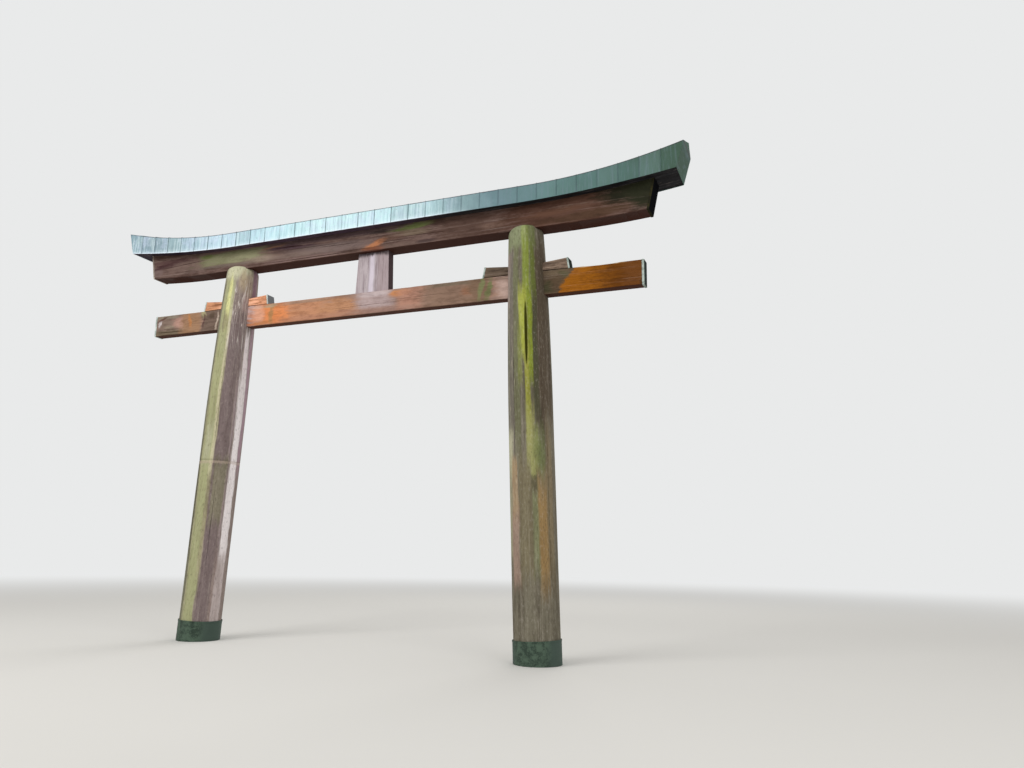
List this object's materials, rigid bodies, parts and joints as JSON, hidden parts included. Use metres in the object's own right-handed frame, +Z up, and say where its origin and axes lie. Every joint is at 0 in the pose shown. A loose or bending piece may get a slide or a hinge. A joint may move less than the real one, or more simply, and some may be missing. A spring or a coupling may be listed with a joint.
{
  "type": "timber torii gate",
  "caption": "Timber torii gate with leaning round posts, a wedged tie beam, a centre strut and a curved double lintel clad in weathered copper.",
  "frame": {"origin": "centre of the left post's foot face, at ground level", "axes": "+X along the gate towards the right post, +Y through the passage away from the front, +Z up"},
  "size_m": [10.3996, 0.6866, 7.319],
  "materials": {
    "post_timber": "weathered grey-green log, lichen streaks",
    "tie_timber": "weathered timber with exposed orange wood",
    "wedge_timber": "weathered timber",
    "strut_timber": "pale grey weathered timber",
    "lintel_timber": "brown weathered timber with moss",
    "roof_timber": "dark damp timber",
    "roof_copper": "verdigris on sheet copper",
    "collar_copper": "dark green sheet copper",
    "cap_sheet": "dull grey-green sheet metal"
  },
  "bodies": {
    "root": {"centre_strut": "strut_timber", "left_inner_wedge": "wedge_timber", "left_inner_wedge_cap": "cap_sheet", "left_outer_wedge": "wedge_timber", "left_outer_wedge_cap": "cap_sheet", "left_post": "post_timber", "left_post_collar": "collar_copper", "lower_lintel": "lintel_timber", "lower_lintel_left_cap": "cap_sheet", "lower_lintel_right_cap": "cap_sheet", "right_inner_wedge": "wedge_timber", "right_inner_wedge_cap": "cap_sheet", "right_outer_wedge": "wedge_timber", "right_outer_wedge_cap": "cap_sheet", "right_post": "post_timber", "right_post_collar": "collar_copper", "roof_front_side": "roof_copper", "roof_front_slope": "roof_copper", "roof_left_end": "roof_copper", "roof_rear_side": "roof_copper", "roof_rear_slope": "roof_copper", "roof_ridge_cap": "roof_copper", "roof_right_end": "roof_copper", "tie_beam": "tie_timber", "tie_beam_left_cap": "cap_sheet", "tie_beam_right_cap": "cap_sheet", "top_lintel": "roof_timber"}
  },
  "joints": []
}
